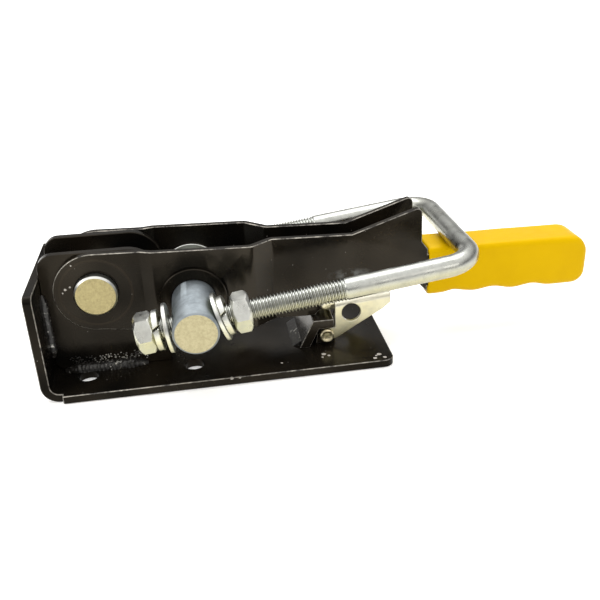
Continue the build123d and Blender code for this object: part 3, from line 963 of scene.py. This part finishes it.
@dataclass
class UBolt:
    """Round bar bent to a U, with rolled threads on both legs."""

    angle: float = math.radians(7.5)
    radius: float = 5.0 * MM
    root: float = 4.12 * MM
    pitch: float = 1.5 * MM
    tail: float = -25.2 * MM
    point: float = 1.1 * MM
    core: float = 1.0 * MM
    thread_end: float = 68.0 * MM
    run_out: float = 3.0 * MM
    spare_turns: int = 2
    steps: int = 24
    reach: float = 128.5 * MM
    leg: float = 42.25 * MM
    bend: float = 14.0 * MM
    bend_steps: int = 14
    sides: int = 40
    overlap: float = 0.2 * MM
    cut_gap: float = 1e-7
    # the zinc's second colour is painted reflection on faces turned down or sideways
    zinc: BrightZinc = BrightZinc(
        "zinc_u_bolt", bright=(0.39, 0.40, 0.38), straw=(0.43, 0.41, 0.27), roughness=0.27
    )

    def seat(self) -> Matrix:
        """Turns (along, across, up) on the bolt's own plane into the part's frame."""
        return Matrix.Translation(TRUNNION) @ Matrix.Rotation(-self.angle, 4, "Y")

    def thread(self, side: Side) -> bmesh.types.BMesh:
        """One threaded leg, closed at both ends.

        Args:
            side: Which leg.

        Returns:
            The leg, with its axis along X of the bolt's plane.
        """
        bm = bmesh.new()
        flat = self.pitch / 8
        outline = (
            (0.0, self.root), (flat, self.root), (self.pitch / 2 - flat / 2, self.radius),
            (self.pitch / 2 + flat / 2, self.radius), (self.pitch - flat, self.root), (self.pitch, self.root),
        )
        start = self.tail - self.spare_turns * self.pitch
        turns = math.ceil((self.thread_end - start) / self.pitch) + self.spare_turns
        verts = [bm.verts.new((start + along, 0.0, out)) for along, out in outline]
        edges = [bm.edges.new(pair) for pair in zip(verts, verts[1:])]
        bmesh.ops.spin(
            bm, geom=verts + edges, cent=(0, 0, 0), axis=(1, 0, 0), dvec=(self.pitch / self.steps, 0, 0),
            angle=math.tau * turns, steps=self.steps * turns,
        )
        bmesh.ops.remove_doubles(bm, verts=bm.verts, dist=SEAM_GAP)
        for vert in bm.verts:
            out = math.hypot(vert.co.y, vert.co.z)
            fade = min(1.0, max(0.0, (vert.co.x - self.thread_end + self.run_out) / self.run_out))
            wanted = out + (self.radius - out) * fade
            wanted = min(wanted, self.radius - self.point + max(0.0, vert.co.x - self.tail))
            vert.co.yz = vert.co.yz * (max(wanted, self.core) / out)
        for along, keep in ((self.tail, 1.0), (self.thread_end, -1.0)):
            cut = bmesh.ops.bisect_plane(
                bm, geom=bm.verts[:] + bm.edges[:] + bm.faces[:], dist=self.cut_gap,
                plane_co=(along, 0, 0), plane_no=(keep, 0, 0), clear_inner=True,
            )
            rim = [g for g in cut["geom_cut"] if isinstance(g, bmesh.types.BMEdge)]
            bmesh.ops.edgeloop_fill(bm, edges=rim)
        bmesh.ops.translate(bm, verts=bm.verts, vec=(0.0, side.value * self.leg, 0.0))
        return bm

    def loop(self) -> bmesh.types.BMesh:
        """The plain, bent part of the bar, closed at both ends.

        Returns:
            The bar, in the bolt's plane.
        """
        bm = bmesh.new()
        start = self.thread_end - self.overlap
        corner_x = self.reach - self.bend
        corner_y = self.leg - self.bend
        ring = bmesh.ops.create_circle(bm, cap_ends=True, radius=self.radius, segments=self.sides)["verts"]
        bmesh.ops.rotate(bm, verts=ring, matrix=Matrix.Rotation(math.pi / 2, 3, "Y"))
        bmesh.ops.translate(bm, verts=ring, vec=(start, -self.leg, 0.0))
        cap = bm.faces[:]
        runs = ((corner_x - start, 0.0), (0.0, 2 * corner_y), (start - corner_x, 0.0))
        bends = ((corner_x, -corner_y, 0.0), (corner_x, corner_y, 0.0), None)
        for (along, across), centre in zip(runs, bends):
            moved = bmesh.ops.extrude_face_region(bm, geom=cap)["geom"]
            bmesh.ops.delete(bm, geom=cap, context="FACES_ONLY")
            verts = [g for g in moved if isinstance(g, bmesh.types.BMVert)]
            bmesh.ops.translate(bm, verts=verts, vec=(along, across, 0.0))
            cap = [g for g in moved if isinstance(g, bmesh.types.BMFace)]
            if centre is not None:
                turned = bmesh.ops.spin(
                    bm, geom=cap, cent=centre, axis=(0, 0, 1), angle=math.pi / 2, steps=self.bend_steps
                )["geom_last"]
                bmesh.ops.delete(bm, geom=cap, context="FACES_ONLY")
                cap = [g for g in turned if isinstance(g, bmesh.types.BMFace)]
        return bm

    def build(self) -> None:
        """Makes the whole bolt as one piece."""
        whole = bmesh.new()
        for part in (self.thread(Side.NEAR), self.thread(Side.FAR), self.loop()):
            bmesh.ops.recalc_face_normals(part, faces=part.faces)
            holder = bpy.data.meshes.new("bolt_part")
            part.to_mesh(holder)
            part.free()
            whole.from_mesh(holder)
            bpy.data.meshes.remove(holder)
        bmesh.ops.transform(whole, matrix=self.seat(), verts=whole.verts)
        piece = finished(whole, "u_bolt_threaded", [self.zinc.material()], sharp=40.0)
        stands_for(piece, "u_bolt")


@dataclass
class HexNuts:
    """The hexagon nuts on the U-bolt's legs, their corners turned down on both faces."""

    bolt: UBolt
    flats: float = 16.0 * MM
    face_radius: float = 7.35 * MM
    bore: float = 5.04 * MM
    mouth: float = 0.5 * MM
    chamfer: float = math.radians(41.0)
    steps: int = 96
    rises: tuple[float, ...] = (
        0.12 * MM, 0.3 * MM, 0.5 * MM, 0.75 * MM, 1.0 * MM, 1.3 * MM, 1.7 * MM, 2.2 * MM
    )
    # the zinc's second colour is painted reflection on faces turned down or sideways
    zinc: BrightZinc = BrightZinc(
        "zinc_nut", bright=(0.60, 0.61, 0.58), straw=(0.55, 0.53, 0.33), roughness=0.30
    )

    def ends(self, node: str) -> tuple[float, float]:
        """Where a nut starts and ends along its leg.

        Args:
            node: The CAD node.

        Returns:
            First and last place along X of the bolt's plane.
        """
        model = merged_copy(node)
        bmesh.ops.transform(model, matrix=self.bolt.seat().inverted(), verts=model.verts)
        along = [vert.co.x for vert in model.verts]
        model.free()
        return min(along), max(along)

    def outline(self, low: float, high: float) -> list[tuple[float, float]]:
        """Closed section of a nut's ring, before its flats are cut.

        Args:
            low: Where the nut starts.
            high: Where it ends.

        Returns:
            Points as (along, out).
        """
        corner = self.flats / 2 / math.cos(math.pi / 6)
        points = [(low + self.mouth, self.bore), (low, self.bore + self.mouth), (low, self.face_radius)]
        points += [(low + rise, corner) for rise in self.rises]
        points += [(high - rise, corner) for rise in reversed(self.rises)]
        points += [(high, self.face_radius), (high, self.bore + self.mouth), (high - self.mouth, self.bore)]
        return points

    def nut(self, node: str, side: Side, zinc: bpy.types.Material) -> None:
        """Makes one nut.

        Args:
            node: The CAD node.
            side: Which leg it is on.
            zinc: Its finish.
        """
        low, high = self.ends(node)
        bm = bmesh.new()
        verts = [bm.verts.new((along, -out, 0.0)) for along, out in self.outline(low, high)]
        edges = [bm.edges.new((vert, verts[i - 1])) for i, vert in enumerate(verts)]
        bmesh.ops.spin(
            bm, geom=verts + edges, cent=(0, 0, 0), axis=(1, 0, 0), angle=math.tau,
            steps=self.steps, use_merge=True,
        )
        bmesh.ops.remove_doubles(bm, verts=bm.verts, dist=SEAM_GAP / 2)
        sixth = math.pi / 3
        for vert in bm.verts:
            out = math.hypot(vert.co.y, vert.co.z)
            if out > self.face_radius + SEAM_GAP:
                turn = math.atan2(vert.co.z, vert.co.y) % sixth
                flat = self.flats / 2 / math.cos(turn - sixth / 2)
                climb = min(vert.co.x - low, high - vert.co.x)
                cone = self.face_radius + climb / math.tan(self.chamfer)
                vert.co.yz = vert.co.yz * (min(flat, cone) / out)
        place = self.bolt.seat() @ Matrix.Translation((0.0, side.value * self.bolt.leg, 0.0))
        bmesh.ops.transform(bm, matrix=place, verts=bm.verts)
        stands_for(finished(bm, f"{node}_turned", [zinc], sharp=22.0), node)

    def build(self) -> None:
        """Makes the four nuts."""
        zinc = self.zinc.material()
        for side in Side:
            for stack in Stack:
                self.nut(f"nut_{side.label}_{stack.value}", side, zinc)


@dataclass
class WeldBead:
    """A hand-laid fillet weld in the corner of two plates."""

    node: str
    start: Place
    along: Place
    first_leg: Place
    second_leg: Place
    length: float
    leg: float
    seed: int
    ring_gap: float = 0.45 * MM
    least_rings: int = 8
    sections: int = 9
    fullness: float = 0.8
    swells: int = 8
    swell: tuple[float, float] = (0.9, 1.05)
    swell_reach: float = 6.999
    ripple: float = 1.7 * MM
    ripple_lag: float = 0.9 * MM
    ripple_curl: float = 3.0
    ripple_depth: float = 0.16
    ripple_edge: float = 1.6
    end_height: float = 0.35
    end_reach: float = 1.6
    least_height: float = 0.2
    unevenness: float = 0.10 * MM
    unevenness_scale: float = 900.0

    def bar(self) -> bmesh.types.BMesh:
        """The bead as a smooth quarter-round bar.

        Returns:
            The bar, with rings of vertices all along it.
        """
        bm = bmesh.new()
        rings = max(self.least_rings, round(self.length / self.ring_gap))
        out, up, base = Vector(self.first_leg), Vector(self.second_leg), Vector(self.start)
        profile = [Vector((0.0, 0.0))]
        for index in range(self.sections):
            turn = math.pi / 2 * index / (self.sections - 1)
            profile.append(Vector((math.cos(turn) ** self.fullness, math.sin(turn) ** self.fullness)))
        verts = [bm.verts.new(base + (out * p.x + up * p.y) * self.leg) for p in profile]
        face = [bm.faces.new(verts)]
        for _ in range(rings):
            moved = bmesh.ops.extrude_face_region(bm, geom=face)["geom"]
            bmesh.ops.delete(bm, geom=face, context="FACES_ONLY")
            shifted = [g for g in moved if isinstance(g, bmesh.types.BMVert)]
            bmesh.ops.translate(bm, verts=shifted, vec=Vector(self.along) * (self.length / rings))
            face = [g for g in moved if isinstance(g, bmesh.types.BMFace)]
        return bm

    def lay(self, bm: bmesh.types.BMesh) -> None:
        """Ripples, swells and tapers the bar as a hand-laid bead is.

        Args:
            bm: The bar.
        """
        rng = random.Random(self.seed)
        up, run, base = Vector(self.second_leg), Vector(self.along), Vector(self.start)
        swell = [rng.uniform(*self.swell) for _ in range(self.swells)]
        for vert in bm.verts:
            offset = vert.co - base
            along = offset.dot(run)
            side = offset - run * along
            rise = side.length / self.leg
            lag = self.ripple_lag * rise * math.cos(self.ripple_curl * side.angle(up, 0.0))
            crest = 1.0 - self.ripple_depth * ((along + lag) / self.ripple % 1.0) ** self.ripple_edge
            spot = along / self.length * self.swell_reach
            low = min(self.swells - 2, max(0, int(spot)))
            body = swell[low] + (swell[low + 1] - swell[low]) * (spot - low)
            inward = min(along, self.length - along) / (self.end_reach * self.leg)
            ends = min(1.0, self.end_height + (1.0 - self.end_height) * inward)
            vert.co = base + run * along + side * crest * body * max(self.least_height, ends)
        wobble(bm, self.unevenness, self.unevenness_scale, self.seed)

    def build(self, skin: bpy.types.Material) -> None:
        """Makes the bead.

        Args:
            skin: Its finish.
        """
        bm = self.bar()
        self.lay(bm)
        stands_for(finished(bm, f"{self.node}_bead", [skin], sharp=50.0), self.node)


@dataclass
class Welds:
    """Weld beads round the webs and the bracket, and the spatter beside the near bead."""

    web_out: float = 13.25 * MM
    base_top: float = 4.0 * MM
    wall: float = -39.25 * MM
    floor_start: float = -35.25 * MM
    floor_length: float = 38.0 * MM
    floor_leg: float = 3.9 * MM
    floor_seed: int = 3
    wall_leg: float = 2.3 * MM
    wall_low: float = 12.0 * MM
    wall_length: float = 32.0 * MM
    wall_seed: int = 7
    near_skin: WeldSkin = WeldSkin("weld_skin_near", bare=0.2)
    far_skin: WeldSkin = WeldSkin("weld_skin_far", bare=0.3)
    spatter_skin: WeldSkin = WeldSkin("weld_spatter", bare=2.6)
    spatter_seed: int = 11
    spatter_count: int = 150
    spatter_reach: tuple[float, float] = (3.0 * MM, 38.0 * MM)
    spatter_size: tuple[float, float] = (0.18, 0.5)
    spatter_rise: tuple[float, float, float] = (0.4, 1.9, 1.35)
    spatter_out: float = 0.3
    spatter_up: float = 0.1
    spatter_shape: Place = (1.0, 1.0, 0.7)

    def build(self) -> None:
        """Makes the beads and the spatter."""
        skins = {Side.NEAR: self.near_skin.material(), Side.FAR: self.far_skin.material()}
        for side in Side:
            sign = float(side.value)
            WeldBead(
                f"weld_floor_{side.label}", (self.floor_start, sign * self.web_out, self.base_top),
                (1.0, 0.0, 0.0), (0.0, sign, 0.0), (0.0, 0.0, 1.0), self.floor_length, self.floor_leg,
                self.floor_seed + side.value,
            ).build(skins[side])
            WeldBead(
                f"weld_wall_{side.label}", (self.wall, sign * self.web_out, self.wall_low),
                (0.0, 0.0, 1.0), (1.0, 0.0, 0.0), (0.0, sign, 0.0), self.wall_length, self.wall_leg,
                self.wall_seed + side.value,
            ).build(skins[Side.FAR])
        frame["nodes"]["weld_bracket"].data.materials[0] = skins[Side.FAR]
        self.spatter(self.spatter_skin.material())

    def spatter(self, skin: bpy.types.Material) -> None:
        """Beads of metal thrown on the web beside the near weld.

        Args:
            skin: Their finish.
        """
        rng = random.Random(self.spatter_seed)
        bm = bmesh.new()
        for _ in range(self.spatter_count):
            size = rng.uniform(*self.spatter_size) * MM
            rise = rng.triangular(*self.spatter_rise)
            out = self.floor_leg * max(0.0, 1.0 - rise) + self.spatter_out * size
            spot = (
                self.floor_start + rng.uniform(*self.spatter_reach),
                -self.web_out - out,
                self.base_top + self.floor_leg * rise + self.spatter_up * size,
            )
            ball = bmesh.ops.create_icosphere(bm, subdivisions=1, radius=size)["verts"]
            bmesh.ops.scale(bm, verts=ball, vec=self.spatter_shape)
            bmesh.ops.translate(bm, verts=ball, vec=spot)
        piece = finished(bm, "weld_spatter", [skin], sharp=60.0)
        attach(piece, "base")
        log.info("%s lies on the base", piece.name)


@dataclass
class Grip:
    """Dipped vinyl grip with soft edges and a hand-dipped skin."""

    voxel: float = 0.7 * MM
    softness: int = 6
    smoothing: float = 0.5
    unevenness: float = 0.16 * MM
    unevenness_scale: float = 60.0
    unevenness_seed: int = 5

    def build(self) -> None:
        """Softens a copy of the solid grip."""
        bm = merged_copy("grip")
        bmesh.ops.triangulate(bm, faces=bm.faces)
        vinyl = DippedVinyl("yellow_vinyl").material()
        rough = finished(bm, "grip_rough", [vinyl])
        remesh = rough.modifiers.new("even_skin", "REMESH")
        remesh.mode = "VOXEL"
        remesh.voxel_size = self.voxel
        evaluated = rough.evaluated_get(bpy.context.evaluated_depsgraph_get())
        even = bpy.data.meshes.new_from_object(evaluated)
        soft = bmesh.new()
        soft.from_mesh(even)
        for _ in range(self.softness):
            bmesh.ops.smooth_vert(
                soft, verts=soft.verts, factor=self.smoothing, use_axis_x=True, use_axis_y=True, use_axis_z=True
            )
        wobble(soft, self.unevenness, self.unevenness_scale, self.unevenness_seed)
        low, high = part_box("grip")
        for vert in soft.verts:
            vert.co = [min(max(c, a), b) for c, a, b in zip(vert.co, low, high)]
        old = rough.data
        bpy.data.objects.remove(rough)
        bpy.data.meshes.remove(old)
        bpy.data.meshes.remove(even)
        stands_for(finished(soft, "grip_dipped", [vinyl], sharp=60.0), "grip")


@dataclass(frozen=True)
class Lamp:
    """A soft rectangular light: its place and size in metres, its watts and its colour."""

    name: str
    place: Place
    size: tuple[float, float]
    power: float
    colour: Colour

    def hang(self, aim: Place) -> None:
        """Adds the light.

        Args:
            aim: The point it faces.
        """
        data = bpy.data.lights.new(self.name, "AREA")
        data.shape = "RECTANGLE"
        data.size, data.size_y = self.size
        data.energy = self.power
        data.color = self.colour
        light = bpy.data.objects.new(self.name, data)
        light.rotation_euler = (Vector(aim) - Vector(self.place)).to_track_quat("-Z", "Y").to_euler()
        light.location = self.place
        bpy.context.scene.collection.objects.link(light)


@dataclass
class Studio:
    """Pale floor, soft lights and the camera."""

    eye: Place = (33.74 * MM, -347.59 * MM, 190.36 * MM)
    yaw: float = math.radians(11.61)
    pitch: float = math.radians(26.42)
    roll: float = math.radians(-0.57)
    lens: float = 46.345
    sensor: float = 36.0
    shift: tuple[float, float] = (-0.0864, 0.0169)
    nearest: float = 0.01
    aim: Place = (0.08, 0.0, 0.03)
    lamps: tuple[Lamp, ...] = (
        Lamp("top", (0.05, 0.25, 0.9), (1.1, 0.7), 7.0, (1.0, 1.0, 1.0)),
        Lamp("left", (-0.8, -0.35, 0.55), (0.5, 0.5), 2.0, (1.0, 0.98, 0.95)),
        Lamp("front", (0.5, -0.9, 0.5), (0.6, 0.4), 1.5, (1.0, 0.96, 0.9)),
    )
    floor_half: float = 5.0
    floor_drop: float = 0.3 * MM
    sky_strength: float = 1.6
    sky_colour: Colour = (1.0, 0.98, 0.95)
    sky_bands: tuple[tuple[float, float], ...] = (
        (0.0, 0.6), (0.12, 0.6), (0.2, 0.13), (0.3, 0.13), (0.75, 1.0)
    )

    def camera(self) -> None:
        """Adds the camera."""
        data = bpy.data.cameras.new("camera")
        data.lens = self.lens
        data.sensor_width = self.sensor
        data.shift_x, data.shift_y = self.shift
        data.clip_start = self.nearest
        eye = bpy.data.objects.new("camera", data)
        ahead = Vector((
            math.sin(self.yaw) * math.cos(self.pitch),
            math.cos(self.yaw) * math.cos(self.pitch),
            -math.sin(self.pitch),
        ))
        right = Vector((math.cos(self.yaw), -math.sin(self.yaw), 0.0))
        up = right.cross(ahead)
        level = right * math.cos(self.roll) + up * math.sin(self.roll)
        above = up * math.cos(self.roll) - right * math.sin(self.roll)
        turn = Matrix((level, above, -ahead)).transposed()
        eye.matrix_world = Matrix.Translation(self.eye) @ turn.to_4x4()
        bpy.context.scene.collection.objects.link(eye)
        bpy.context.scene.camera = eye

    def floor(self) -> None:
        """Adds the floor."""
        bm = bmesh.new()
        bmesh.ops.create_grid(bm, x_segments=2, y_segments=2, size=self.floor_half)
        bmesh.ops.translate(bm, verts=bm.verts, vec=(0.0, 0.0, -self.floor_drop))
        finished(bm, "floor", [PaleFloor("pale_floor").material()])

    def sky(self) -> None:
        """Sets a surround that is bright overhead and dim below, with a pale horizon."""
        world = bpy.data.worlds.new("surround")
        world.use_nodes = True
        tree = world.node_tree
        background = tree.nodes["Background"]
        background.inputs["Strength"].default_value = self.sky_strength
        direction = tree.nodes.new("ShaderNodeTexCoord")
        split = tree.nodes.new("ShaderNodeSeparateXYZ")
        tree.links.new(direction.outputs["Generated"], split.inputs["Vector"])
        ramp = tree.nodes.new("ShaderNodeValToRGB")
        tree.links.new(split.outputs["Z"], ramp.inputs["Fac"])
        tree.links.new(ramp.outputs["Color"], background.inputs["Color"])
        stops = ramp.color_ramp.elements
        while len(stops) < len(self.sky_bands):
            stops.new(1.0)
        for stop, (height, level) in zip(stops, self.sky_bands):
            stop.position = height
            stop.color = (*(level * c for c in self.sky_colour), 1.0)
        bpy.context.scene.world = world

    def build(self) -> None:
        """Adds everything round the latch."""
        bpy.context.scene.view_settings.view_transform = "Standard"
        self.floor()
        self.sky()
        for lamp in self.lamps:
            lamp.hang(self.aim)
        self.camera()
        log.info("studio: floor, %d lights and camera", len(self.lamps))


def main() -> None:
    """Builds every piece in order."""
    logging.basicConfig(level=logging.INFO, format="%(message)s")
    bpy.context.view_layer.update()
    PlateWork().build()
    PlatedParts().build()
    LeverPin().build()
    bolt = UBolt()
    bolt.build()
    HexNuts(bolt).build()
    Welds().build()
    Grip().build()
    spring = frame["nodes"]["lever_spring"]
    spring.data.materials[0] = SpringSteel("spring_wire").material()
    Studio().build()


if __name__ == "__main__":
    main()
